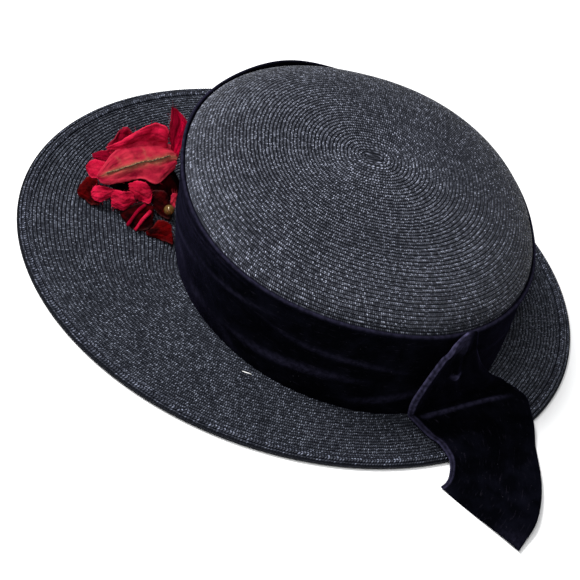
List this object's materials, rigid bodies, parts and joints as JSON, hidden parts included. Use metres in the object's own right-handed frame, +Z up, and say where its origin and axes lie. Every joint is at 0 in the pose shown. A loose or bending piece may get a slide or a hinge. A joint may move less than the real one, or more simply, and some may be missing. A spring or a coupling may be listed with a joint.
{
  "type": "boater hat",
  "caption": "Woman's boater hat of sewn straw braid, wide in front, with a velvet ribbon band, a loose ribbon end and a crimson cloth flower.",
  "frame": {"origin": "middle of the underside of the whole hat's box, on the surface it rests on", "axes": "+Z up out of the crown, the front of the hat towards -Y, the wearer's left, with the ribbon end, towards +X"},
  "size_m": [0.3194, 0.324, 0.0915],
  "materials": {
    "straw_braid": "dark blue-black sewn straw braid, slightly glossy, with small glints",
    "edge_braid": "the same braid in larger, glossier rows",
    "velvet": "navy-black velvet with a blue-violet sheen at its edges",
    "crimson_cloth": "crimson petal cloth, soft and worn, with frayed edges",
    "faded_cloth": "faded crimson petal cloth, dusty towards its middle",
    "dark_cloth": "dark red petal cloth in deep folds",
    "vein_wire": "brown wire wound with thread",
    "amber_bead": "small amber glass bead"
  },
  "bodies": {
    "root": {"crown": "straw_braid", "brim": "straw_braid", "brim_edge_braid": "edge_braid", "hat_band": "velvet", "ribbon_tail": "velvet", "flower_heart": "dark_cloth", "flower_bead": "amber_bead", "vein_petal": "faded_cloth", "back_petal_left": "dark_cloth", "back_petal_right": "crimson_cloth", "upright_petal": "dark_cloth", "side_petal": "dark_cloth", "outer_petal": "crimson_cloth", "corner_petal": "dark_cloth", "low_petal_left": "crimson_cloth", "low_petal_middle": "crimson_cloth", "low_petal_right": "crimson_cloth", "inner_petal": "dark_cloth", "under_petal": "dark_cloth", "edge_petal": "dark_cloth", "pale_petal": "faded_cloth", "curled_strip_left": "crimson_cloth", "curled_strip_right": "crimson_cloth", "vein_wire": "vein_wire"}
  },
  "joints": []
}
